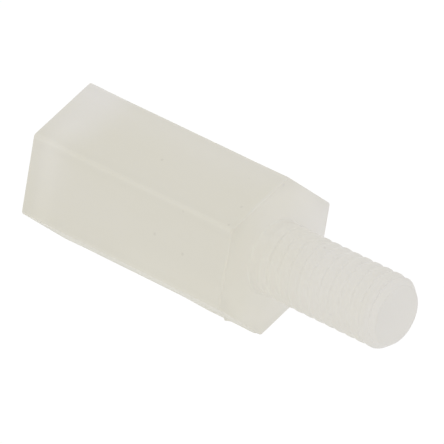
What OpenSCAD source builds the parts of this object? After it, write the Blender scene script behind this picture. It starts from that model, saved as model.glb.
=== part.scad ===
// Male-female hex standoff: a hexagonal body with a threaded stud at one end and a
// tapped blind hole in the other, moulded in one piece.
//
// The part lies on one flat of its hexagon. Its axis is X: the stud points to +X and the
// body runs from the shoulder at X = 0 back to -X. +Z is the normal of the top flat.
// Threads are left plain here: the stud is as wide as its thread's crests, and the hole
// as narrow as its thread's crests.

/* [Body] */
// Width of the hexagon across its flats
across_flats = 5.5; // [5:0.1:8]
// Length of the body between the shoulder and the far end face
body_length = 10; // [9:0.5:40]
// Radius along the six long edges
corner_radius = 0.15; // [0.12:0.01:0.4]
// Size of the broken edge round each end face
edge_break = 0.08; // [0.04:0.01:0.1]

/* [Stud] */
// Diameter over the crests of the stud's thread
stud_diameter = 2.9; // [2.8:0.05:3]
// Length that the stud stands out of the shoulder
stud_length = 6; // [4:0.5:12]
// Diameter of the flat at the stud's tip
tip_diameter = 2.37; // [2.1:0.01:2.5]
// Length of the cone that leads the tip into a nut
tip_lead = 0.28; // [0.1:0.01:0.5]

/* [Tapped hole] */
// Diameter of the hole over the crests of its thread
hole_diameter = 2.5; // [2.4:0.05:2.6]
// Depth from the end face to where the full diameter stops
hole_depth = 6.5; // [4:0.5:7]
// Diameter of the countersink at the hole's mouth
mouth_diameter = 3.2; // [3:0.1:4]
// Full angle of the countersink
mouth_angle = 90; // [80:5:100]
// Full angle of the cone at the bottom of the hole
bottom_angle = 118; // [90:1:150]

/* [Burr] */
// Height that the burr stands out past the sharp corner of the lower front edge
burr_height = 0.12; // [0.05:0.01:0.2]
// Distance of the burr's blunt end from the shoulder
burr_distance = 2.05; // [2:0.05:4]
// Length over which the burr tapers away towards the shoulder
burr_length = 0.9; // [0.3:0.1:1.2]

/* [Hidden] */

// Natural nylon, a milky off-white
nylon = [0.85, 0.84, 0.79];

// Facets round each circle, and flat strips that make the radius of one long edge
round_facets = 96;
corner_strips = 6;
// How far a shape runs into the one that it joins, and a cutter past the face that it enters
overlap = 0.2;

flat_count = 6;
flat_turn = 360 / flat_count;
// From the axis to a flat, and to the centre of the arc between two flats
flat_distance = across_flats / 2;
arc_distance = (flat_distance - corner_radius) / cos(flat_turn / 2);
// From the middle of a flat to the sharp corner that its plane makes with the next one
sharp_corner = flat_distance * tan(flat_turn / 2);

mouth_depth = (mouth_diameter - hole_diameter) / 2 / tan(mouth_angle / 2);
mouth_flare = overlap * tan(mouth_angle / 2);
bottom_depth = hole_diameter / 2 / tan(bottom_angle / 2);

// The point at DISTANCE from the origin in the direction TURN
function polar(distance, turn) = distance * [cos(turn), sin(turn)];

// The slab between two opposite flats, its edges broken at both ends of the body
module flat_pair() {
    rotate([90, 0, 0])
        linear_extrude(height = 2 * across_flats, center = true)
            polygon([
                [0, flat_distance - edge_break],
                [-edge_break, flat_distance],
                [-body_length + edge_break, flat_distance],
                [-body_length, flat_distance - edge_break],
                [-body_length, -flat_distance + edge_break],
                [-body_length + edge_break, -flat_distance],
                [-edge_break, -flat_distance],
                [0, -flat_distance + edge_break],
            ]);
}

// A bar that has the six long edges' radii, and stands clear of the flats between them
module radiused_edges() {
    rotate([90, 0, -90])
        linear_extrude(height = body_length)
            polygon([
                for (corner = [1 : flat_count])
                    let (middle = corner * flat_turn)
                        each [
                            for (strip = [1 : corner_strips - 1])
                                polar(arc_distance, middle)
                                    + polar(corner_radius, middle + flat_turn * (strip / corner_strips - 1 / 2)),
                            polar(flat_distance + overlap, middle + flat_turn / 2),
                        ],
            ]);
}

// Hexagonal body with radiused long edges and a broken edge round each end face
module body() {
    intersection() {
        flat_pair();
        rotate([flat_turn, 0, 0]) flat_pair();
        rotate([2 * flat_turn, 0, 0]) flat_pair();
        radiused_edges();
    }
}

// What the tapped hole takes out of the body: countersink, full diameter and bottom cone
module tapped_hole_cut() {
    translate([-body_length, 0, 0])
        rotate([0, 90, 0])
            rotate_extrude($fn = round_facets)
                polygon([
                    [0, -overlap],
                    [mouth_diameter / 2 + mouth_flare, -overlap],
                    [hole_diameter / 2, mouth_depth],
                    [hole_diameter / 2, hole_depth],
                    [0, hole_depth + bottom_depth],
                ]);
}

// Stud with a cone at its tip
module stud() {
    rotate([0, 90, 0])
        rotate_extrude($fn = round_facets)
            polygon([
                [0, -overlap],
                [stud_diameter / 2, -overlap],
                [stud_diameter / 2, stud_length - tip_lead],
                [tip_diameter / 2, stud_length],
                [0, stud_length],
            ]);
}

// Wedge of flash level with the resting flat: blunt at its far end, tapering to the shoulder
module burr() {
    translate([-burr_distance, 0, -flat_distance])
        linear_extrude(height = corner_radius)
            polygon([
                [0, 0],
                [0, -sharp_corner - burr_height],
                [burr_length, -sharp_corner + corner_radius],
                [burr_length, 0],
            ]);
}

module hex_standoff() {
    color(nylon) {
        difference() {
            body();
            tapped_hole_cut();
        }
        stud();
        burr();
    }
}

hex_standoff();
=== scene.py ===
"""A male-female hex standoff moulded in natural nylon, lying on one flat of its hexagon.

The standoff is one closed mesh. Geometry Nodes make its three walls that follow a rule: the
six-sided barrel, the helical thread of the stud and the helical thread of the tapped hole.
Plain stacks of rings close the shoulder, the far face, the stud's tip and the hole's bottom,
and everything is welded into one piece with natural nylon all over it.
"""

import logging
import math
from dataclasses import astuple, dataclass, field, fields
from enum import Enum
from typing import Any, NamedTuple

import bmesh
import bpy
import numpy as np
from mathutils import Matrix, Vector


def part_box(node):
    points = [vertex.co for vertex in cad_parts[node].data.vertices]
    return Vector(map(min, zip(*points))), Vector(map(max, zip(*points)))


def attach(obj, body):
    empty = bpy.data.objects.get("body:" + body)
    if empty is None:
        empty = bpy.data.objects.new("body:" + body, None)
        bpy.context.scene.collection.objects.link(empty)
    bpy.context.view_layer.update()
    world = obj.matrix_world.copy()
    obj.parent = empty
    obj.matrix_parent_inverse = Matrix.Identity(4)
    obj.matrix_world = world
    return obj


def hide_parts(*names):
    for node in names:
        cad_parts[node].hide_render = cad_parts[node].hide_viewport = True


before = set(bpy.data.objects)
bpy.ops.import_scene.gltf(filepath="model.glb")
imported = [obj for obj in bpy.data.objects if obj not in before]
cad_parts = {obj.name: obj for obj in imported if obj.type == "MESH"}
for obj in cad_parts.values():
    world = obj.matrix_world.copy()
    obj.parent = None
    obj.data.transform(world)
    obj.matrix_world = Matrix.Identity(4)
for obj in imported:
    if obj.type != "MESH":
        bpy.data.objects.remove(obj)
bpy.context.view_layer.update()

log = logging.getLogger("hex_standoff")

MM = 0.001
BODY = "root"
NODE = "hex_standoff"

RING_POINTS = 96  # in every ring, so that any wall can be welded to the next
SECTORS = 6
SECTOR_ANGLE = 2 * math.pi / SECTORS
CORNER_STEPS = 6  # the quads round each corner of the hexagon
CORNER_SHARE = CORNER_STEPS * SECTORS / RING_POINTS  # of each sector's points, the ones at its corner
WELD_DISTANCE = 2e-7

FLOAT = "NodeSocketFloat"
VECTOR = "NodeSocketVector"
WHITE = (1.0, 1.0, 1.0, 1.0)

Ring = np.ndarray
Feed = Any  # another node's output, or a plain value
Socket = bpy.types.NodeSocket
Outputs = bpy.types.NodeOutputs
Mesh = bpy.types.Mesh
Material = bpy.types.Material
Colour = tuple[float, float, float]


class Along(Enum):
    """The measures of a place on the standoff that a finish can change along."""

    LENGTH = "Length"
    SIDE = "Side"
    HEIGHT = "Height"
    RADIUS = "Radius"


class Finish(Enum):
    """The piece's two materials, by their slots."""

    # Both are the same nylon with painted light in their colour: THIN, on the shoulder and the stud, is a
    # paler and lighter copy of THICK, on the barrel.
    THICK = 0
    THIN = 1


class Graph:
    """A node tree with short calls that add and link its nodes."""

    # The Mix node's sockets for colours, by number, because its names are shared by other kinds.
    MIX_SHARE = 0
    MIX_FIRST = 6
    MIX_SECOND = 7
    MIX_RESULT = 2

    def __init__(self, tree: bpy.types.NodeTree) -> None:
        """Wraps a node tree and empties it."""
        self.tree = tree
        tree.nodes.clear()

    def node(self, kind: str, feeds: dict[str | int, Feed] | None = None, **settings: Any) -> bpy.types.Node:
        """Adds one node.

        Args:
            kind: The node's Blender type.
            feeds: Sockets or plain values for the node's inputs, by name or number.
            **settings: Properties of the node, set before its inputs are fed.

        Returns:
            The new node.
        """
        made = self.tree.nodes.new(kind)
        for name, value in settings.items():
            setattr(made, name, value)
        for key, value in (feeds or {}).items():
            self.feed(made.inputs[key], value)
        return made

    def feed(self, socket: Socket, value: Feed) -> None:
        """Links an output to a socket, or sets the socket's own value.

        Args:
            socket: The input that is fed.
            value: Another node's output, or a plain value.
        """
        if isinstance(value, Socket):
            self.tree.links.new(value, socket)
        else:
            socket.default_value = value

    def out(self, kind: str, feeds: dict[str | int, Feed] | None = None, **settings: Any) -> Socket:
        """Adds one node and returns its first output."""
        return self.node(kind, feeds, **settings).outputs[0]

    def math(self, operation: str, *values: Feed) -> Socket:
        """Adds a Math node and returns its output."""
        return self.out("ShaderNodeMath", dict(enumerate(values)), operation=operation)

    def product(self, first: Feed, *others: Feed) -> Feed:
        """Multiplies values one after another.

        Args:
            first: The first value.
            *others: The values that it is multiplied by.

        Returns:
            The product's socket.
        """
        result = first
        for other in others:
            result = self.math("MULTIPLY", result, other)
        return result

    def ramp(self, value: Feed, start: Feed, end: Feed, smooth: bool = True) -> Socket:
        """Rises from 0 at START to 1 at END, level outside them.

        Args:
            value: The socket to remap.
            start: Where the ramp is 0.
            end: Where the ramp is 1.
            smooth: Whether the ramp is an S instead of straight.

        Returns:
            The ramp's output socket.
        """
        return self.out(
            "ShaderNodeMapRange",
            {"Value": value, "From Min": start, "From Max": end},
            interpolation_type="SMOOTHSTEP" if smooth else "LINEAR",
        )

    def mix(self, share: Feed, first: Feed, second: Feed) -> Socket:
        """Mixes two colours by a share that is clamped between 0 and 1."""
        feeds = {self.MIX_SHARE: share, self.MIX_FIRST: first, self.MIX_SECOND: second}
        return self.node("ShaderNodeMix", feeds, data_type="RGBA").outputs[self.MIX_RESULT]

    def noise(self, place: Feed, scale: Feed, detail: float) -> Socket:
        """Adds a Noise Texture and returns its value."""
        return self.out("ShaderNodeTexNoise", {"Vector": place, "Scale": scale, "Detail": detail})

    def join(self, x: Feed, y: Feed, z: Feed) -> Socket:
        """Joins three values into a vector."""
        return self.out("ShaderNodeCombineXYZ", {"X": x, "Y": y, "Z": z})

    def split(self, vector: Feed) -> Outputs:
        """Splits a vector into its X, Y and Z outputs."""
        return self.node("ShaderNodeSeparateXYZ", {"Vector": vector}).outputs


# ---- rings


def circle_ring(x: float, radius: float) -> Ring:
    """A ring of evenly turned points round the axis, at the place X along it."""
    turn = np.arange(RING_POINTS) * 2 * np.pi / RING_POINTS
    return np.stack([np.full(RING_POINTS, x), radius * np.cos(turn), radius * np.sin(turn)], 1)


@dataclass(frozen=True)
class HexSection:
    """The hexagon with radiused corners, as a ring of points that matches the turned rings."""

    across_flats: float
    corner_radius: float = 0.15 * MM
    LEAST_CORNER = 0.2  # the share of the corner's radius that stays, however far a ring is pulled in

    def directions(self) -> tuple[np.ndarray, np.ndarray, np.ndarray]:
        """Works out where each ring point stands on the hexagon.

        Returns:
            The direction of each point's corner, the direction of its normal, and how far it
            is along the flat that follows the corner, from 0 to 1.
        """
        place = SECTORS * np.arange(RING_POINTS) / RING_POINTS + CORNER_SHARE / 2
        sector = np.floor(place)
        within = place - sector
        corner = sector * SECTOR_ANGLE
        normal = corner + (np.clip(within / CORNER_SHARE, 0, 1) - 0.5) * SECTOR_ANGLE
        along = np.clip((within - CORNER_SHARE) / (1 - CORNER_SHARE), 0, 1)
        return corner, normal, along

    def ring(self, x: float, inset: float = 0.0) -> Ring:
        """A ring of the hexagon, with its outline pulled in by INSET.

        Args:
            x: The ring's place along the axis.
            inset: How far every flat and corner lies inside the full outline.

        Returns:
            An array of RING_POINTS points.
        """
        corner, normal, along = self.directions()
        radius = max(self.corner_radius - inset, self.LEAST_CORNER * self.corner_radius)
        centre = (self.across_flats / 2 - inset - radius) / math.cos(SECTOR_ANGLE / 2)
        y = centre * np.cos(corner) + radius * np.cos(normal) - along * centre * np.sin(normal)
        z = centre * np.sin(corner) + radius * np.sin(normal) + along * centre * np.cos(normal)
        return np.stack([np.full(RING_POINTS, x), y, z], 1)


class RingStack:
    """Rings joined by quads, from one end of a wall to the other."""

    def __init__(self, name: str) -> None:
        """Starts an empty stack.

        Args:
            name: The name of the mesh that the stack becomes.
        """
        self.name = name
        self.rings: list[Ring] = []
        self.pole: Vector | None = None

    def add(self, ring: Ring) -> None:
        """Adds one ring."""
        self.rings.append(ring)

    def blend(self, first: Ring, last: Ring, steps: int) -> None:
        """Adds the rings between two rings, and the last of them.

        Args:
            first: The ring that the blend leaves, already in the stack.
            last: The ring that the blend reaches.
            steps: How many rings are added.
        """
        for step in range(1, steps + 1):
            share = step / steps
            self.add(first * (1 - share) + last * share)

    def close(self, x: float) -> None:
        """Closes the stack's last ring to a pole on the axis."""
        self.pole = Vector((x, 0, 0))

    def mesh(self) -> Mesh:
        """Joins each ring to the next by quads, and the last ring to the pole by triangles.

        Returns:
            The mesh, open where the stack has no pole.
        """
        points = [tuple(point) for ring in self.rings for point in ring]
        faces: list[tuple[int, ...]] = []
        for level in range(len(self.rings) - 1):
            low, high = level * RING_POINTS, (level + 1) * RING_POINTS
            for spot in range(RING_POINTS):
                after = (spot + 1) % RING_POINTS
                faces.append((low + spot, low + after, high + after, high + spot))
        if self.pole is not None:
            last = (len(self.rings) - 1) * RING_POINTS
            points.append(tuple(self.pole))
            for spot in range(RING_POINTS):
                faces.append((last + spot, last + (spot + 1) % RING_POINTS, len(points) - 1))
        made = bpy.data.meshes.new(self.name)
        made.from_pydata(points, [], faces)
        return made


# ---- walls made by rule


def labels(kind: Any, prefix: str = "") -> list[str]:
    """The names of the tree inputs that a dataclass of sizes feeds, such as Crest Radius."""
    return [f"{prefix} {size.name}".strip().replace("_", " ").title() for size in fields(kind)]


def feeds(sizes: Any, prefix: str = "") -> dict[str, Any]:
    """A dataclass's sizes, by the names of the tree inputs that they feed."""
    return dict(zip(labels(sizes, prefix), astuple(sizes)))


@dataclass(frozen=True)
class Run:
    """The tube that a wall is made from, and whether it looks in towards the axis."""

    rings: int
    start: float
    length: float
    inside: bool


class TubePoint(NamedTuple):
    """Where a point of the tube stands before it is moved, as sockets."""

    x: Socket  # its place along the standoff
    across: Socket  # the cosine of its angle round the axis
    up: Socket  # the sine of that angle
    turn: Socket  # that angle in turns


class WallTree:
    """A Geometry Nodes tree that makes one wall of the standoff from a tube."""

    NAME = ""
    SIZES: list[str] = []
    COMMON = {
        "Points": "NodeSocketInt",
        "Rings": "NodeSocketInt",
        "Start": FLOAT,
        "Length": FLOAT,
        "Inside": "NodeSocketBool",
        "Material": "NodeSocketMaterial",
    }

    def __init__(self) -> None:
        """Builds the tree, which moves the points of a tube of radius and length 1."""
        self.tree = bpy.data.node_groups.new(self.NAME, "GeometryNodeTree")
        self.tree.interface.new_socket("Geometry", in_out="OUTPUT", socket_type="NodeSocketGeometry")
        kinds = self.COMMON | {label: FLOAT for label in self.SIZES}
        for label, kind in kinds.items():
            self.tree.interface.new_socket(label, in_out="INPUT", socket_type=kind)
        g = Graph(self.tree)
        entry = g.node("NodeGroupInput")
        size = {label: entry.outputs[label] for label in kinds}
        tube = g.out(
            "GeometryNodeMeshCylinder",
            {"Vertices": size["Points"], "Side Segments": size["Rings"], "Radius": 1.0, "Depth": 1.0},
            fill_type="NONE",
        )
        spot = g.split(g.out("GeometryNodeInputPosition"))
        share = g.math("ADD", spot["Z"], 0.5)
        self.g, self.size = g, size
        self.point = TubePoint(
            x=g.math("MULTIPLY_ADD", share, size["Length"], size["Start"]),
            across=spot["X"],
            up=spot["Y"],
            turn=g.math("DIVIDE", g.math("ARCTAN2", spot["Y"], spot["X"]), 2 * math.pi),
        )
        moved = g.out("GeometryNodeSetPosition", {"Geometry": tube, "Position": self.place()})
        facing = g.out("GeometryNodeFlipFaces", {"Mesh": moved, "Selection": size["Inside"]})
        real = g.out("GeometryNodeRealizeInstances", {"Geometry": facing})
        dressed = g.out("GeometryNodeSetMaterial", {"Geometry": real, "Material": size["Material"]})
        g.node("NodeGroupOutput", {"Geometry": dressed})

    def place(self) -> Socket:
        """Adds the nodes that say where each point of the tube goes, and returns its new place."""
        raise NotImplementedError

    def mesh(self, name: str, run: Run, material: Material, sizes: dict[str, float]) -> Mesh:
        """Runs the tree once and keeps its result as a plain mesh.

        Args:
            name: The name of the mesh.
            run: The tube that the wall is made from.
            material: The wall's material.
            sizes: The value of each of the tree's own inputs.

        Returns:
            The evaluated mesh, with nothing live on it.
        """
        values = {"Points": RING_POINTS, "Material": material} | feeds(run) | sizes
        holder = bpy.data.objects.new(name, bpy.data.meshes.new(name))
        bpy.context.scene.collection.objects.link(holder)
        modifier = holder.modifiers.new(name, "NODES")
        modifier.node_group = self.tree
        for item in self.tree.interface.items_tree:
            if item.item_type == "SOCKET" and item.in_out == "INPUT":
                modifier[item.identifier] = values[item.name]
        depsgraph = bpy.context.evaluated_depsgraph_get()
        mesh = bpy.data.meshes.new_from_object(holder.evaluated_get(depsgraph), depsgraph=depsgraph)
        holder.modifiers.remove(modifier)
        bpy.data.objects.remove(holder)
        mesh.name = name
        return mesh


@dataclass(frozen=True)
class Thread:
    """A right-hand thread: its radii, its ridges and grooves, and where it fades away."""

    crest_radius: float
    root_radius: float
    crest_place: float  # where a crest crosses the side that looks to +Y
    plain_start: float  # where the thread begins to fade in, from the wall's start
    plain_end: float  # where it has faded out, from the wall's end
    fade: float  # the length of each fade
    pitch: float = 0.5 * MM
    crest_share: float = 0.16  # of the pitch that a crest is level
    root_share: float = 0.10  # of the pitch that a root is level


@dataclass(frozen=True)
class Lip:
    """The cone that ends a thread: the stud's tip or the hole's countersink."""

    place: float
    radius: float
    slope: float


class ThreadTree(WallTree):
    """The tree of a turned wall with a right-hand thread in it and a lip at one end."""

    NAME = "threaded_wall"
    SIZES = labels(Thread) + labels(Lip, "Lip")

    def groove(self) -> Socket:
        """Works out how deep the groove is at each point.

        Returns:
            The depth's socket, from 0 on a crest to 1 at a root.
        """
        g, size, point = self.g, self.size, self.point
        along = g.math("DIVIDE", g.math("SUBTRACT", point.x, size["Crest Place"]), size["Pitch"])
        pitches = g.math("ADD", g.math("SUBTRACT", along, point.turn), 0.5)
        from_crest = g.math("ABSOLUTE", g.math("SUBTRACT", g.math("FRACT", pitches), 0.5))
        crest_edge = g.math("MULTIPLY", size["Crest Share"], 0.5)
        root_edge = g.math("SUBTRACT", 0.5, g.math("MULTIPLY", size["Root Share"], 0.5))
        begin = g.math("ADD", size["Start"], size["Plain Start"])
        end = g.math("SUBTRACT", g.math("ADD", size["Start"], size["Length"]), size["Plain End"])
        fade_in = g.ramp(point.x, begin, g.math("ADD", begin, size["Fade"]))
        fade_out = g.ramp(point.x, end, g.math("SUBTRACT", end, size["Fade"]))
        return g.product(fade_in, fade_out, g.ramp(from_crest, crest_edge, root_edge))

    def place(self) -> Socket:
        """Sets each point out to the thread's radius, or to the lip's where that comes first.

        Returns:
            The socket of its new place.
        """
        g, size, point = self.g, self.size, self.point
        drop = g.math("SUBTRACT", size["Root Radius"], size["Crest Radius"])
        thread = g.math("MULTIPLY_ADD", self.groove(), drop, size["Crest Radius"])
        from_lip = g.math("ABSOLUTE", g.math("SUBTRACT", point.x, size["Lip Place"]))
        lip = g.math("MULTIPLY_ADD", from_lip, size["Lip Slope"], size["Lip Radius"])
        outer, inner = g.math("MINIMUM", thread, lip), g.math("MAXIMUM", thread, lip)
        ways = {"Switch": size["Inside"], "False": outer, "True": inner}
        radius = g.out("GeometryNodeSwitch", ways, input_type="FLOAT")
        return g.join(point.x, g.math("MULTIPLY", point.across, radius), g.math("MULTIPLY", point.up, radius))


@dataclass(frozen=True)
class Sag:
    """How the flats sink as the plastic shrinks, and the slow waves in them."""

    sink: float = 0.03 * MM
    sink_reach: float = 1.6 * MM  # the length over which the sink begins at each end
    waviness: float = 0.02 * MM
    wave_length: float = 4.0 * MM
    wave_seed: float = 3.0


@dataclass(frozen=True)
class Flash:
    """The thin fin of plastic that the mould leaves along one long edge."""

    corner: float = 4.0  # its corner, in sixths of a turn from +Y
    reach: float = 0.26  # how far round the axis it goes to each side, in sixths of a turn
    core: float = 0.17  # how far it has its full height
    height: float = 0.105 * MM
    end: float = -4.1 * MM  # where it has died away, along the axis
    taper: float = 1.7 * MM  # the length over which it dies away there
    lead: float = 0.25 * MM  # the length over which it dies away at the shoulder


@dataclass(frozen=True)
class Burr:
    """The burr on the flash, blunt towards the far end and tapered towards the shoulder."""

    height: float = 0.24 * MM
    place: float = -1.75 * MM  # where it is highest, along the axis
    length: float = 0.55 * MM  # of its taper
    drop: float = 0.05 * MM  # the length of its blunt end


class HexPoint(NamedTuple):
    """Where a point of the tube goes on the hexagon, as sockets."""

    x: Socket  # its place along the standoff
    sectors: Socket  # how far it is round the axis, in sixths of a turn
    corner: Socket  # the direction of its corner
    arc: Socket  # how far it is round the corner, from 0 to 1
    normal: Socket  # the direction that the surface looks in
    along: Socket  # how far it is along the flat after the corner, from 0 to 1
    centre: Socket  # how far the corner's own centre is from the axis


class BarrelTree(WallTree):
    """The tree of the six-sided wall, with sunk flats and the flash on one long edge."""

    NAME = "six_sided_wall"
    WAVE_DETAIL = 1.0
    FLASH_LEAN = 0.5  # how much lower the flash is on the side where its corner begins
    SIZES = labels(HexSection) + labels(Sag) + labels(Flash, "Flash") + labels(Burr, "Burr")

    def on_hexagon(self) -> HexPoint:
        """Works out where each point of the tube goes on the hexagon.

        Returns:
            Its place on the hexagon.
        """
        g, size, point = self.g, self.size, self.point
        turn = g.math("FRACT", g.math("ADD", point.turn, 1.0))
        step = g.math("ROUND", g.math("MULTIPLY", turn, size["Points"]))
        sectors = g.math("MULTIPLY", g.math("DIVIDE", step, size["Points"]), float(SECTORS))
        place = g.math("ADD", sectors, CORNER_SHARE / 2)
        sector = g.math("FLOOR", place)
        within = g.math("SUBTRACT", place, sector)
        corner = g.math("MULTIPLY", sector, SECTOR_ANGLE)
        arc = g.ramp(within, 0.0, CORNER_SHARE, smooth=False)
        inner = g.math("SUBTRACT", g.math("MULTIPLY", size["Across Flats"], 0.5), size["Corner Radius"])
        return HexPoint(
            x=point.x,
            sectors=sectors,
            corner=corner,
            arc=arc,
            normal=g.math("MULTIPLY_ADD", g.math("SUBTRACT", arc, 0.5), SECTOR_ANGLE, corner),
            along=g.ramp(within, CORNER_SHARE, 1.0, smooth=False),
            centre=g.math("DIVIDE", inner, math.cos(SECTOR_ANGLE / 2)),
        )

    def inset(self, spot: HexPoint) -> Socket:
        """Works out how far the surface is sunk. It isn't sunk at the wall's ends.

        Args:
            spot: The point's place on the hexagon.

        Returns:
            The socket of the sink and the waviness together.
        """
        g, size, x = self.g, self.size, spot.x
        end = g.math("ADD", size["Start"], size["Length"])
        far_in = g.ramp(x, size["Start"], g.math("ADD", size["Start"], size["Sink Reach"]))
        near_in = g.ramp(x, end, g.math("SUBTRACT", end, size["Sink Reach"]))
        inside = g.math("MULTIPLY", far_in, near_in)
        # A parabola over the flat, 0 at both of its long edges and 1 in the middle.
        sunk = g.product(spot.along, g.math("SUBTRACT", 1.0, spot.along), 4.0)
        y = g.math("MULTIPLY", g.math("COSINE", spot.normal), spot.centre)
        z = g.math("MULTIPLY", g.math("SINE", spot.normal), spot.centre)
        pattern = {
            "Vector": g.join(x, y, z),
            "W": size["Wave Seed"],
            "Scale": g.math("DIVIDE", 1.0, size["Wave Length"]),
            "Detail": self.WAVE_DETAIL,
        }
        wave = g.out("ShaderNodeTexNoise", pattern, noise_dimensions="4D")
        sink = g.product(sunk, size["Sink"], inside)
        return g.math("ADD", sink, g.product(wave, size["Waviness"], inside))

    def push(self, spot: HexPoint) -> Socket:
        """Works out how far the flash and its burr stand out at a point.

        Args:
            spot: The point's place on the hexagon.

        Returns:
            The socket of their height, 0 away from their corner.
        """
        g, size, x = self.g, self.size, spot.x
        end = g.math("ADD", size["Start"], size["Length"])
        from_corner = g.math("ABSOLUTE", g.math("SUBTRACT", spot.sectors, size["Flash Corner"]))
        at_corner = g.ramp(from_corner, size["Flash Reach"], size["Flash Core"])
        flash_in = g.ramp(x, size["Flash End"], g.math("ADD", size["Flash End"], size["Flash Taper"]))
        flash_out = g.ramp(x, end, g.math("SUBTRACT", end, size["Flash Lead"]))
        flash = g.product(flash_in, flash_out, size["Flash Height"])
        burr_start = g.math("SUBTRACT", size["Burr Place"], size["Burr Drop"])
        burr_end = g.math("ADD", size["Burr Place"], size["Burr Length"])
        burr_in = g.ramp(x, burr_start, size["Burr Place"], smooth=False)
        burr_out = g.ramp(x, burr_end, size["Burr Place"], smooth=False)
        burr = g.product(burr_in, burr_out, size["Burr Height"])
        lean = g.math("MULTIPLY_ADD", spot.arc, self.FLASH_LEAN, 1 - self.FLASH_LEAN)
        return g.product(g.math("MAXIMUM", flash, burr), at_corner, lean)

    def place(self) -> Socket:
        """Moves each point to the hexagon, less its inset, with the flash pushed out to -Y.

        Returns:
            The socket of its new place.
        """
        g = self.g
        spot = self.on_hexagon()
        reach = g.math("SUBTRACT", self.size["Corner Radius"], self.inset(spot))
        slide = g.math("MULTIPLY", spot.along, spot.centre)
        cosine, sine = g.math("COSINE", spot.normal), g.math("SINE", spot.normal)
        corner_y = g.math("MULTIPLY", spot.centre, g.math("COSINE", spot.corner))
        corner_z = g.math("MULTIPLY", spot.centre, g.math("SINE", spot.corner))
        y = g.math("MULTIPLY_ADD", reach, cosine, corner_y)
        y = g.math("SUBTRACT", y, g.math("MULTIPLY", slide, sine))
        y = g.math("SUBTRACT", y, self.push(spot))
        z = g.math("MULTIPLY_ADD", reach, sine, corner_z)
        z = g.math("MULTIPLY_ADD", slide, cosine, z)
        return g.join(spot.x, y, z)


# ---- finish


class Effect:
    """A shader node group that is built once, and placed in each finish with its own values."""

    NAME = ""
    INPUTS: dict[str, str] = {}
    OUTPUTS: tuple[str, ...] = ()

    def __init__(self) -> None:
        """Builds the group."""
        self.tree = bpy.data.node_groups.new(self.NAME, "ShaderNodeTree")
        for label, kind in self.INPUTS.items():
            self.tree.interface.new_socket(label, in_out="INPUT", socket_type=kind)
        for label in self.OUTPUTS:
            self.tree.interface.new_socket(label, in_out="OUTPUT", socket_type=FLOAT)
        self.g = Graph(self.tree)
        entry = self.g.node("NodeGroupInput")
        self.given = {label: entry.outputs[label] for label in self.INPUTS}
        self.g.node("NodeGroupOutput", self.draw())

    def draw(self) -> dict[str, Feed]:
        """Adds the group's nodes and returns the group's outputs by name."""
        raise NotImplementedError

    def place(self, g: Graph, values: dict[str, Feed], label: str = "") -> Outputs:
        """Places the group in a finish and returns its outputs."""
        return g.node("ShaderNodeGroup", values, node_tree=self.tree, label=label).outputs


class Measures(Effect):
    """How far a place is along the standoff's length, side, height and radius."""

    NAME = "standoff_measures"
    INPUTS = {"Place": VECTOR}
    OUTPUTS = tuple(along.value for along in Along)

    def draw(self) -> dict[str, Feed]:
        """Splits the place, and works out its distance from the axis.

        Returns:
            Each measure under its own name.
        """
        g = self.g
        spot = g.split(self.given["Place"])
        side, height = spot["Y"], spot["Z"]
        square = g.math("ADD", g.math("MULTIPLY", side, side), g.math("MULTIPLY", height, height))
        return {
            Along.LENGTH.value: spot["X"],
            Along.SIDE.value: side,
            Along.HEIGHT.value: height,
            Along.RADIUS.value: g.math("SQRT", square),
        }


class SoftStep(Effect):
    """A soft step of a tone from one value of a measure to another."""

    NAME = "soft_step"
    INPUTS = {"Tone": FLOAT, "Measure": FLOAT, "Start": FLOAT, "End": FLOAT, "Change": FLOAT}
    OUTPUTS = ("Tone",)

    def draw(self) -> dict[str, Feed]:
        """Adds the change to the tone past the step."""
        step = self.g.ramp(self.given["Measure"], self.given["Start"], self.given["End"])
        return {"Tone": self.g.math("MULTIPLY_ADD", step, self.given["Change"], self.given["Tone"])}


class MilkyCloud(Effect):
    """Soft clouds in the plastic, drawn out along the way it flowed into the mould."""

    NAME = "milky_cloud"
    INPUTS = {"Place": VECTOR, "Size": FLOAT, "Stretch": FLOAT}
    OUTPUTS = ("Cloud",)
    DETAIL = 2.0
    CLEAR = 0.3  # the noise where a cloud begins
    MILKY = 0.7  # the noise where it is full

    def draw(self) -> dict[str, Feed]:
        """Stretches a noise along the standoff.

        Returns:
            How milky the plastic is, from 0 to 1.
        """
        g = self.g
        across = g.math("DIVIDE", 1.0, self.given["Size"])
        flow = g.math("DIVIDE", across, self.given["Stretch"])
        factors = {0: self.given["Place"], 1: g.join(flow, across, across)}
        drawn = g.out("ShaderNodeVectorMath", factors, operation="MULTIPLY")
        return {"Cloud": g.ramp(g.noise(drawn, 1.0, self.DETAIL), self.CLEAR, self.MILKY)}


class DarkSpecks(Effect):
    """Sparse small specks caught in the plastic."""

    NAME = "dark_specks"
    INPUTS = {"Place": VECTOR, "Spacing": FLOAT, "Size": FLOAT}
    OUTPUTS = ("Speck",)
    CORE = 0.4  # the share of a speck's size that is fully dark

    def draw(self) -> dict[str, Feed]:
        """Puts a speck in the middle of each cell of a pattern.

        Returns:
            A mask that is 1 in the middle of each speck.
        """
        g, spacing = self.g, self.given["Spacing"]
        pattern = {"Vector": self.given["Place"], "Scale": g.math("DIVIDE", 1.0, spacing)}
        cells = g.node("ShaderNodeTexVoronoi", pattern).outputs
        reach = g.math("DIVIDE", self.given["Size"], spacing)
        return {"Speck": g.ramp(cells["Distance"], reach, g.math("MULTIPLY", reach, self.CORE))}


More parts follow.
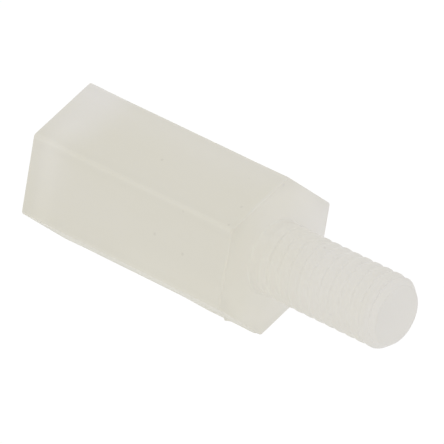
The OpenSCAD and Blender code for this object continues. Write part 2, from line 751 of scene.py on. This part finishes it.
class MouldedGrain(Effect):
    """The fine eroded grain of the mould: bumps, and patches that shine a little more."""

    NAME = "moulded_grain"
    INPUTS = {"Place": VECTOR, "Size": FLOAT, "Patch": FLOAT}
    OUTPUTS = ("Height", "Shine")
    GRAIN_DETAIL = 3.0
    PATCH_DETAIL = 1.0
    DULL = 0.35  # the noise where a patch begins to shine
    SHINY = 0.65  # the noise where it shines in full

    def draw(self) -> dict[str, Feed]:
        """Adds a fine noise for the bumps and a wide one for the patches.

        Returns:
            The grain's height and the mask of its shiny patches.
        """
        g, place = self.g, self.given["Place"]
        grain = g.noise(place, g.math("DIVIDE", 1.0, self.given["Size"]), self.GRAIN_DETAIL)
        patch = g.noise(place, g.math("DIVIDE", 1.0, self.given["Patch"]), self.PATCH_DETAIL)
        return {"Height": grain, "Shine": g.ramp(patch, self.DULL, self.SHINY)}


@dataclass(frozen=True)
class Effects:
    """The effects that the finishes share."""

    measures: Measures = field(default_factory=Measures)
    soft_step: SoftStep = field(default_factory=SoftStep)
    cloud: MilkyCloud = field(default_factory=MilkyCloud)
    specks: DarkSpecks = field(default_factory=DarkSpecks)
    grain: MouldedGrain = field(default_factory=MouldedGrain)


@dataclass(frozen=True)
class Step:
    """One soft step of a tone along a measure, by a change that may itself be a step from nothing."""

    along: Along
    start: float
    end: float
    change: "float | Step"


@dataclass(frozen=True)
class NaturalNylon:
    """Milky undyed nylon: light goes a little way into it, and painted light is laid into its colour.

    PAINTED_GLOW names soft steps from the warm colour to the pale one, painted glow that stands for light
    coming through the nylon, which start from CLOUD_AND_GLOW. PAINTED_LIGHT names soft steps of painted
    highlight and painted shade, which scale the colour and start from PAINTED_LIGHT_LEVEL.
    """

    name: str
    thinner: dict[str, Step]
    brighter: dict[str, Step]
    thinness: float = 0.0
    brightness: float = 1.0
    # The nylon's own warm colour, and the pale colour that the painted glow and the milky clouds lead to.
    warm_colour: Colour = (0.694, 0.670, 0.584)
    pale_colour: Colour = (0.733, 0.712, 0.672)
    speck_colour: Colour = (0.63, 0.605, 0.525)
    # Painted fill light: how white the nylon is to bounced light.
    soak: float = 1.0
    roughness: float = 0.55
    shine: float = 0.08
    index: float = 1.53
    scatter_share: float = 0.1
    scatter_scale: float = 0.1 * MM
    scatter_depth: Colour = (1.0, 0.95, 0.80)
    cloud_share: float = 0.14
    cloud_size: float = 1.6 * MM
    cloud_stretch: float = 3.0
    speck_spacing: float = 1.0 * MM
    speck_size: float = 0.09 * MM
    grain_size: float = 0.06 * MM
    grain_patch: float = 1.2 * MM
    grain_depth: float = 0.0015 * MM

    def tone(
        self, g: Graph, effects: Effects, measures: Outputs, start: Feed, steps: dict[str, Step]
    ) -> Feed:
        """Adds soft steps to a tone.

        Args:
            g: The material's graph.
            effects: The shared effects.
            measures: The outputs of the standoff's measures.
            start: The tone before the steps.
            steps: The steps by name, each along its own measure.

        Returns:
            The tone after the steps.
        """
        result = start
        for name, step in steps.items():
            change = step.change
            if isinstance(change, Step):
                change = self.tone(g, effects, measures, 0.0, {name: change})
            values = {
                "Tone": result,
                "Measure": measures[step.along.value],
                "Start": step.start,
                "End": step.end,
                "Change": change,
            }
            result = effects.soft_step.place(g, values, name)["Tone"]
        return result

    def colour(self, g: Graph, effects: Effects, place: Feed) -> Feed:
        """Adds the nodes of the colour, with its painted glow and its painted light and shade.

        Args:
            g: The material's graph.
            effects: The shared effects.
            place: The place on the standoff.

        Returns:
            The colour's socket.
        """
        measures = effects.measures.place(g, {"Place": place})
        cloud_values = {"Place": place, "Size": self.cloud_size, "Stretch": self.cloud_stretch}
        cloud = effects.cloud.place(g, cloud_values)["Cloud"]
        # Painted glow of light through the nylon, with the plastic's own milky clouds, leads from the warm
        # colour to the pale one.
        clouded = g.math("MULTIPLY_ADD", cloud, self.cloud_share, self.thinness - self.cloud_share / 2)
        thinness = self.tone(g, effects, measures, clouded, self.thinner)
        milk = g.mix(thinness, (*self.warm_colour, 1.0), (*self.pale_colour, 1.0))
        # Painted light and painted shade scale the colour.
        brightness = self.tone(g, effects, measures, self.brightness, self.brighter)
        lit = g.out("ShaderNodeVectorMath", {"Vector": milk, "Scale": brightness}, operation="SCALE")
        speck_values = {"Place": place, "Spacing": self.speck_spacing, "Size": self.speck_size}
        speck = effects.specks.place(g, speck_values)["Speck"]
        return g.mix(speck, lit, (*self.speck_colour, 1.0))

    def soaked(self, g: Graph, colour: Feed) -> Feed:
        """Makes the nylon white to light that has met a matt surface: painted fill light, which takes the
        shade out of grooves and corners.
        """
        again = g.math("MULTIPLY", g.node("ShaderNodeLightPath").outputs["Is Diffuse Ray"], self.soak)
        return g.mix(again, colour, WHITE)

    def material(self, effects: Effects) -> Material:
        """Builds the material.

        Args:
            effects: The shared effects.

        Returns:
            The material, its patterns placed by Object coordinates.
        """
        made = bpy.data.materials.new(self.name)
        made.use_nodes = True
        made.diffuse_color = (*self.warm_colour, 1.0)
        g = Graph(made.node_tree)
        place = g.node("ShaderNodeTexCoord").outputs["Object"]
        grain = effects.grain.place(g, {"Place": place, "Size": self.grain_size, "Patch": self.grain_patch})
        bump_values = {"Strength": 1.0, "Distance": self.grain_depth, "Height": grain["Height"]}
        surface = g.out(
            "ShaderNodeBsdfPrincipled",
            {
                "Base Color": self.soaked(g, self.colour(g, effects, place)),
                "Roughness": g.math("MULTIPLY_ADD", grain["Shine"], -self.shine, self.roughness),
                "IOR": self.index,
                "Normal": g.out("ShaderNodeBump", bump_values),
                "Subsurface Weight": self.scatter_share,
                "Subsurface Radius": self.scatter_depth,
                "Subsurface Scale": self.scatter_scale,
            },
        )
        g.node("ShaderNodeOutputMaterial", {"Surface": surface})
        return made


def barrel_nylon(low: Vector) -> NaturalNylon:
    """The barrel's nylon: warm, with painted glow at the far end and away from the front, and painted light
    and shade.

    The steps that come first are each the change of another, so that it acts on one part only.

    Args:
        low: The lowest corner of the standoff's box, at its far end.

    Returns:
        The finish.
    """
    end = low.x
    # upper and behind change the painted glow; the others change the painted light and shade.
    upper = Step(Along.HEIGHT, -0.6 * MM, 3.0 * MM, 0.42)
    behind = Step(Along.SIDE, -1.3 * MM, -0.2 * MM, 0.28)
    front = Step(Along.SIDE, 0.6 * MM, -1.2 * MM, 0.022)
    top = Step(Along.HEIGHT, 1.0 * MM, 2.4 * MM, 0.009)
    near_half = Step(Along.LENGTH, -6.0 * MM, -4.0 * MM, 0.018)
    front_rim = Step(Along.SIDE, 0.5 * MM, -1.0 * MM, -0.030)
    return NaturalNylon(
        name="nylon_barrel_painted_light",
        # Painted glow of light through the nylon: at the far end, less of it at the rim, and more away from
        # the front.
        thinner={
            "painted glow upper end": Step(Along.LENGTH, end + 2.4 * MM, end + 0.8 * MM, upper),
            "painted glow end behind": Step(Along.LENGTH, end + 3.0 * MM, end + 1.4 * MM, behind),
            "less painted glow at the rim": Step(Along.LENGTH, end + 0.65 * MM, end + 0.15 * MM, -0.12),
            "painted glow behind": Step(Along.SIDE, -0.3 * MM, 1.5 * MM, 0.34),
        },
        # Painted light and shade: highlights on the long edges and at the far end, painted shade below the
        # top and beside the edges.
        brighter={
            "dim below the top": Step(Along.HEIGHT, 2.70 * MM, 2.45 * MM, -0.012),
            "dim beside the edges": Step(Along.RADIUS, 2.93 * MM, 3.04 * MM, -0.009),
            "bright edges": Step(Along.RADIUS, 3.09 * MM, 3.13 * MM, 0.022),
            "bright end in front": Step(Along.LENGTH, end + 1.7 * MM, end + 1.0 * MM, front),
            "bright end on top": Step(Along.LENGTH, end + 2.8 * MM, end + 1.4 * MM, top),
            "bright low near half": Step(Along.HEIGHT, 1.2 * MM, 0.3 * MM, near_half),
            "dim rim in front": Step(Along.LENGTH, end + 0.9 * MM, end + 0.3 * MM, front_rim),
        },
    )


def stud_nylon(low: Vector, high: Vector, thread: Thread) -> NaturalNylon:
    """The nylon of the shoulder and the stud: paler and lighter than the barrel's, with painted glow that
    grows towards the tip, and painted light and shade.

    Args:
        low: The lowest corner of the standoff's box.
        high: The highest corner of the standoff's box, at the stud's tip.
        thread: The stud's thread.

    Returns:
        The finish.
    """
    tip = high.x
    upper_back = Step(Along.SIDE, 0.0, 1.4 * MM, -0.26)
    lower = Step(Along.HEIGHT, 1.0 * MM, -1.0 * MM, 0.010)
    return NaturalNylon(
        name="nylon_stud_painted_light",
        speck_colour=(0.68, 0.655, 0.61),
        # Painted glow of light through the nylon: more to the back, the bottom and the tip, less at the upper
        # back.
        thinness=-0.18,
        thinner={
            "painted glow to the back": Step(Along.SIDE, low.y, high.y, 1.05),
            "painted glow to the bottom": Step(Along.HEIGHT, high.z, low.z, 0.27),
            "thin stud": Step(Along.LENGTH, 1.0 * MM, 3.2 * MM, 0.42),
            "thin tip": Step(Along.LENGTH, tip - 0.6 * MM, tip - 0.3 * MM, 0.20),
            "less painted glow upper back": Step(Along.HEIGHT, -0.8 * MM, 1.2 * MM, upper_back),
        },
        # Painted light all over, lighter than the barrel, with painted highlight and painted shade; the
        # groove is lightened to take its shade away.
        brightness=1.048,
        brighter={
            "bright back": Step(Along.SIDE, -0.5 * MM, 1.2 * MM, 0.012),
            "dim outer shoulder": Step(Along.RADIUS, 2.4 * MM, 3.0 * MM, -0.04),
            "dim shoulder edge": Step(Along.LENGTH, 0.0, -0.03 * MM, -0.02),
            "dim stud": Step(Along.LENGTH, 0.0, 0.15 * MM, -0.028),
            "dim outer stud": Step(Along.LENGTH, 1.2 * MM, 2.0 * MM, -0.010),
            "bright below": Step(Along.HEIGHT, 0.5 * MM, -2.0 * MM, 0.012),
            "bright lower shoulder": Step(Along.RADIUS, 1.5 * MM, 1.6 * MM, lower),
            "bright groove": Step(Along.RADIUS, thread.crest_radius, thread.root_radius, 0.015),
            "dim tip cone": Step(Along.LENGTH, tip - 0.55 * MM, tip - 0.30 * MM, -0.012),
            "dim tip face": Step(Along.LENGTH, tip - 0.04 * MM, tip, -0.001),
        },
    )


# ---- the standoff


@dataclass
class Barrel:
    """The six-sided body between the shoulder and the far face."""

    section: HexSection
    length: float
    sag: Sag = Sag()
    flash: Flash = Flash()
    burr: Burr = Burr()
    edge_round: float = 0.04 * MM
    edge_steps: int = 4
    support: float = 0.05 * MM
    fillet: float = 0.08 * MM
    rim_rounds: int = 3  # the level rim inside each end's rounded edge, in its roundings
    face_rings: int = 4
    wall_rings: int = 110

    def wall(self, tree: BarrelTree, material: Material) -> Mesh:
        """Makes the six flats and the long edges between them.

        Args:
            tree: The tree that makes the wall.
            material: The wall's material.

        Returns:
            The wall's mesh, open at both ends.
        """
        margin = self.edge_round + self.support
        start, length = margin - self.length, self.length - 2 * margin
        run = Run(rings=self.wall_rings, start=start, length=length, inside=False)
        sizes = feeds(self.section) | feeds(self.sag) | feeds(self.flash, "Flash") | feeds(self.burr, "Burr")
        return tree.mesh("barrel_wall", run, material, sizes)

    def quarter(self, radius: float) -> list[tuple[float, float]]:
        """How far each point of a rounding is from one of the faces that it joins, and from the other."""
        leans = [step / self.edge_steps * math.pi / 2 for step in range(self.edge_steps + 1)]
        return [(radius * (1 - math.sin(lean)), radius * (1 - math.cos(lean))) for lean in leans]

    def edge(self, stack: RingStack, face: float, outward: int) -> None:
        """Adds the rings that round one end of the barrel, from its face to its wall.

        Args:
            stack: The stack that takes the rings.
            face: The end face's place along the axis.
            outward: +1 where the face looks to +X, -1 where it looks to -X.
        """
        rings = [self.section.ring(face, self.edge_round + self.support)]
        for inset, back in self.quarter(self.edge_round):
            rings.append(self.section.ring(face - outward * back, inset))
        rings.append(self.section.ring(face - outward * (self.edge_round + self.support)))
        for ring in rings if outward > 0 else reversed(rings):
            stack.add(ring)

    def shoulder(self, stud_radius: float) -> Mesh:
        """Makes the shoulder face, from the fillet at the stud's foot to the barrel's wall.

        Args:
            stud_radius: The stud's radius over its crests.

        Returns:
            The shoulder's mesh.
        """
        stack = RingStack("shoulder")
        for height, out in self.quarter(self.fillet):
            stack.add(circle_ring(height, stud_radius + out))
        start = circle_ring(0.0, stud_radius + self.fillet + self.support)
        stack.add(start)
        rim = self.section.ring(0.0, self.rim_rounds * self.edge_round)
        stack.blend(start, rim, self.face_rings)
        self.edge(stack, 0.0, 1)
        return stack.mesh()

    def far_face(self, mouth_radius: float) -> Mesh:
        """Makes the far end face, from the barrel's wall to the hole's mouth.

        Args:
            mouth_radius: The radius of the hole's countersink at the face.

        Returns:
            The face's mesh.
        """
        stack = RingStack("far_face")
        self.edge(stack, -self.length, -1)
        rim = self.section.ring(-self.length, self.rim_rounds * self.edge_round)
        stack.add(rim)
        stack.blend(rim, circle_ring(-self.length, mouth_radius + self.support), self.face_rings)
        stack.add(circle_ring(-self.length, mouth_radius))
        return stack.mesh()


@dataclass
class Stud:
    """The threaded stud on the shoulder."""

    length: float
    tip_radius: float = 1.17 * MM
    tip_lead: float = 0.34 * MM
    tip_rings: tuple[float, ...] = (1.0, 0.95, 0.85, 0.6, 0.3)  # shares of the tip's radius
    rings_a_pitch: int = 20
    thread: Thread = Thread(
        crest_radius=1.44 * MM,
        root_radius=1.27 * MM,
        crest_place=0.254 * MM,
        plain_start=0.1 * MM,
        plain_end=-2.0 * MM,
        fade=0.6 * MM,
    )

    def wall(self, tree: ThreadTree, foot: float, material: Material) -> Mesh:
        """Makes the stud's thread and the cone at its tip.

        Args:
            tree: The tree that makes the wall.
            foot: Where the fillet at the stud's foot ends.
            material: The wall's material.

        Returns:
            The wall's mesh, open at both ends.
        """
        slope = (self.thread.crest_radius - self.tip_radius) / self.tip_lead
        lip = Lip(place=self.length, radius=self.tip_radius, slope=slope)
        length = self.length - foot
        rings = round(length / self.thread.pitch * self.rings_a_pitch)
        run = Run(rings=rings, start=foot, length=length, inside=False)
        return tree.mesh("stud_thread", run, material, feeds(self.thread) | feeds(lip, "Lip"))

    def tip(self) -> Mesh:
        """Makes the flat tip.

        Returns:
            The tip's mesh, closed in its middle.
        """
        stack = RingStack("stud_tip")
        for share in self.tip_rings:
            stack.add(circle_ring(self.length, self.tip_radius * share))
        stack.close(self.length)
        return stack.mesh()


@dataclass
class TappedHole:
    """The blind hole with its thread, in the far face."""

    mouth: float
    mouth_radius: float = 1.6 * MM
    mouth_slope: float = -1.0  # of the countersink, towards the hole's middle
    depth: float = 6.5 * MM
    bottom_angle: float = math.radians(118)
    bottom_rings: tuple[float, ...] = (0.0, 0.04, 0.35, 0.7, 0.93)  # shares of the cone's depth
    rings_a_pitch: int = 18
    thread: Thread = Thread(
        crest_radius=1.25 * MM,
        root_radius=1.5 * MM,
        crest_place=0.1 * MM,
        plain_start=-2.0 * MM,
        plain_end=0.4 * MM,
        fade=0.7 * MM,
    )

    def wall(self, tree: ThreadTree, material: Material) -> Mesh:
        """Makes the hole's countersink and thread.

        Args:
            tree: The tree that makes the wall.
            material: The wall's material.

        Returns:
            The wall's mesh, open at both ends.
        """
        lip = Lip(place=self.mouth, radius=self.mouth_radius, slope=self.mouth_slope)
        rings = round(self.depth / self.thread.pitch * self.rings_a_pitch)
        run = Run(rings=rings, start=self.mouth, length=self.depth, inside=True)
        return tree.mesh("hole_thread", run, material, feeds(self.thread) | feeds(lip, "Lip"))

    def bottom(self) -> Mesh:
        """Makes the cone at the bottom of the hole.

        Returns:
            The cone's mesh, closed at its point.
        """
        radius = self.thread.crest_radius
        base = self.mouth + self.depth
        tip = base + radius / math.tan(self.bottom_angle / 2)
        stack = RingStack("hole_bottom")
        for share in self.bottom_rings:
            stack.add(circle_ring(base + share * (tip - base), radius * (1 - share)))
        stack.close(tip)
        return stack.mesh()


def weld(name: str, parts: list[tuple[Mesh, Finish]]) -> Mesh:
    """Welds open parts into one closed mesh with smooth faces that look outwards.

    Args:
        name: The name of the welded mesh.
        parts: Each part with its finish. The parts are used up.

    Returns:
        The welded mesh.
    """
    welded = bmesh.new()
    for part, finish in parts:
        log.info("%s: %d points, %d faces", part.name, len(part.vertices), len(part.polygons))
        for face in part.polygons:
            face.material_index = finish.value
        welded.from_mesh(part)
        bpy.data.meshes.remove(part)
    bmesh.ops.remove_doubles(welded, verts=welded.verts, dist=WELD_DISTANCE)
    bmesh.ops.recalc_face_normals(welded, faces=welded.faces)
    for face in welded.faces:
        face.smooth = True
    mesh = bpy.data.meshes.new(name)
    welded.to_mesh(mesh)
    open_edges = sum(1 for edge in welded.edges if not edge.is_manifold)
    volume = welded.calc_volume(signed=True) / MM**3
    log.info("%s: %d faces, %d open edges, %.1f mm3", name, len(mesh.polygons), open_edges, volume)
    welded.free()
    return mesh


@dataclass
class Standoff:
    """The whole moulded piece."""

    barrel: Barrel
    stud: Stud
    hole: TappedHole
    # The barrel's nylon, and its paler, lighter copy on the shoulder and the stud, each with painted light.
    thick: NaturalNylon
    thin: NaturalNylon

    def build(self) -> None:
        """Builds every wall and face, welds them into one piece and sets it in the frame."""
        effects = Effects()
        thick, thin = self.thick.material(effects), self.thin.material(effects)
        threads, barrels = ThreadTree(), BarrelTree()
        parts = [
            (self.hole.bottom(), Finish.THICK),
            (self.hole.wall(threads, thick), Finish.THICK),
            (self.barrel.far_face(self.hole.mouth_radius), Finish.THICK),
            (self.barrel.wall(barrels, thick), Finish.THICK),
            (self.barrel.shoulder(self.stud.thread.crest_radius), Finish.THIN),
            (self.stud.wall(threads, self.barrel.fillet, thin), Finish.THIN),
            (self.stud.tip(), Finish.THIN),
        ]
        mesh = weld("moulded_standoff", parts)
        mesh.materials.append(thick)
        mesh.materials.append(thin)
        piece = bpy.data.objects.new("moulded_standoff", mesh)
        bpy.context.scene.collection.objects.link(piece)
        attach(piece, BODY)
        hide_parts(NODE)


# ---- the studio


def shows(g: Graph) -> Socket:
    """Picks out the rays that show a surface: from the camera, or by way of a mirror or glass.

    Args:
        g: The graph of a material or of the world.

    Returns:
        The socket of a mask, 1 for those rays and 0 for the ones that light something.
    """
    ray = g.node("ShaderNodeLightPath").outputs
    seen = g.math("MAXIMUM", ray["Is Camera Ray"], ray["Is Glossy Ray"])
    return g.math("MAXIMUM", seen, ray["Is Transmission Ray"])


@dataclass
class Floor:
    """The pale floor, which stays white where it is seen but keeps the piece's shadow."""

    level: float
    side: float = 0.6
    gap: float = 0.02 * MM
    grey: float = 0.9
    lit_glow: float = 0.93  # the strength of its glow as the piece meets it
    seen_glow: float = 1.04  # the strength of its glow as it is seen
    lit_share: float = 0.75  # how much of the floor is glow as the piece meets it
    seen_share: float = 0.88  # how much of it is glow as it is seen

    def material(self) -> Material:
        """Builds the material, a matt surface mixed with a glow.

        Returns:
            The material.
        """
        made = bpy.data.materials.new("white_floor")
        made.use_nodes = True
        g = Graph(made.node_tree)
        seen = shows(g)
        matt = g.out("ShaderNodeBsdfDiffuse", {"Color": (self.grey, self.grey, self.grey, 1.0)})
        strength = g.math("MULTIPLY_ADD", seen, self.seen_glow - self.lit_glow, self.lit_glow)
        glow = g.out("ShaderNodeEmission", {"Color": WHITE, "Strength": strength})
        share = g.math("MULTIPLY_ADD", seen, self.seen_share - self.lit_share, self.lit_share)
        mixed = g.out("ShaderNodeMixShader", {0: share, 1: matt, 2: glow})
        g.node("ShaderNodeOutputMaterial", {"Surface": mixed})
        return made

    def build(self) -> None:
        """Makes the floor just under the piece."""
        half = self.side / 2
        level = self.level - self.gap
        corners = [(-half, -half, level), (half, -half, level), (half, half, level), (-half, half, level)]
        mesh = bpy.data.meshes.new("floor")
        mesh.from_pydata(corners, [], [(0, 1, 2, 3)])
        mesh.materials.append(self.material())
        floor = bpy.data.objects.new("floor", mesh)
        bpy.context.scene.collection.objects.link(floor)


@dataclass
class Tent:
    """The even light from all round, with plain white behind everything."""

    strength: float = 0.93
    white: float = 1.0

    def build(self) -> None:
        """Makes the world."""
        world = bpy.data.worlds.new("white_tent")
        world.use_nodes = True
        bpy.context.scene.world = world
        g = Graph(world.node_tree)
        light = g.out("ShaderNodeBackground", {"Color": WHITE, "Strength": self.strength})
        white = g.out("ShaderNodeBackground", {"Color": WHITE, "Strength": self.white})
        mixed = g.out("ShaderNodeMixShader", {0: shows(g), 1: light, 2: white})
        g.node("ShaderNodeOutputWorld", {"Surface": mixed})


@dataclass
class SoftLamp:
    """One square soft lamp that looks at the piece."""

    place: tuple[float, float, float] = (0.12, -0.30, 0.22)
    side: float = 0.3
    watts: float = 0.10

    def build(self) -> None:
        """Hangs the lamp."""
        data = bpy.data.lights.new("key_lamp", "AREA")
        data.shape = "SQUARE"
        data.size = self.side
        data.energy = self.watts
        lamp = bpy.data.objects.new("key_lamp", data)
        bpy.context.scene.collection.objects.link(lamp)
        lamp.location = self.place
        lamp.rotation_mode = "QUATERNION"
        lamp.rotation_quaternion = (-Vector(self.place)).to_track_quat("-Z", "Y")


@dataclass
class Camera:
    """The camera, which stands off from the point that it aims at."""

    azimuth: float = math.radians(52.27)
    elevation: float = math.radians(43.05)
    roll: float = math.radians(-15.57)
    distance: float = 0.32063
    lens: float = 707.7
    sensor: float = 36.0
    near: float = 0.01
    far: float = 10.0
    aim: tuple[float, float, float] = (-0.00187, -0.00048, 0.00127)

    def build(self) -> None:
        """Sets the camera at its angle."""
        level = math.cos(self.elevation)
        height = math.sin(self.elevation)
        back = Vector((math.sin(self.azimuth) * level, -math.cos(self.azimuth) * level, height))
        right = Vector((0, 0, 1)).cross(back).normalized()
        up = back.cross(right)
        turn = Matrix((right, up, back)).transposed() @ Matrix.Rotation(self.roll, 3, "Z")
        data = bpy.data.cameras.new("camera")
        data.lens = self.lens
        data.sensor_width = self.sensor
        data.clip_start, data.clip_end = self.near, self.far
        camera = bpy.data.objects.new("camera", data)
        bpy.context.scene.collection.objects.link(camera)
        camera.matrix_world = Matrix.Translation(Vector(self.aim) + back * self.distance) @ turn.to_4x4()
        bpy.context.scene.camera = camera


def main() -> None:
    """Builds the standoff and its studio."""
    logging.basicConfig(level=logging.INFO, format="%(message)s")
    low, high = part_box(NODE)
    stud = Stud(length=high.x)
    standoff = Standoff(
        barrel=Barrel(section=HexSection(across_flats=high.z - low.z), length=-low.x),
        stud=stud,
        hole=TappedHole(mouth=low.x),
        thick=barrel_nylon(low),
        thin=stud_nylon(low, high, stud.thread),
    )
    standoff.build()
    for part in (Floor(level=low.z), Tent(), SoftLamp(), Camera()):
        part.build()
        log.info("built %s", part)
    bpy.context.scene.view_settings.view_transform = "Standard"


if __name__ == "__main__":
    main()
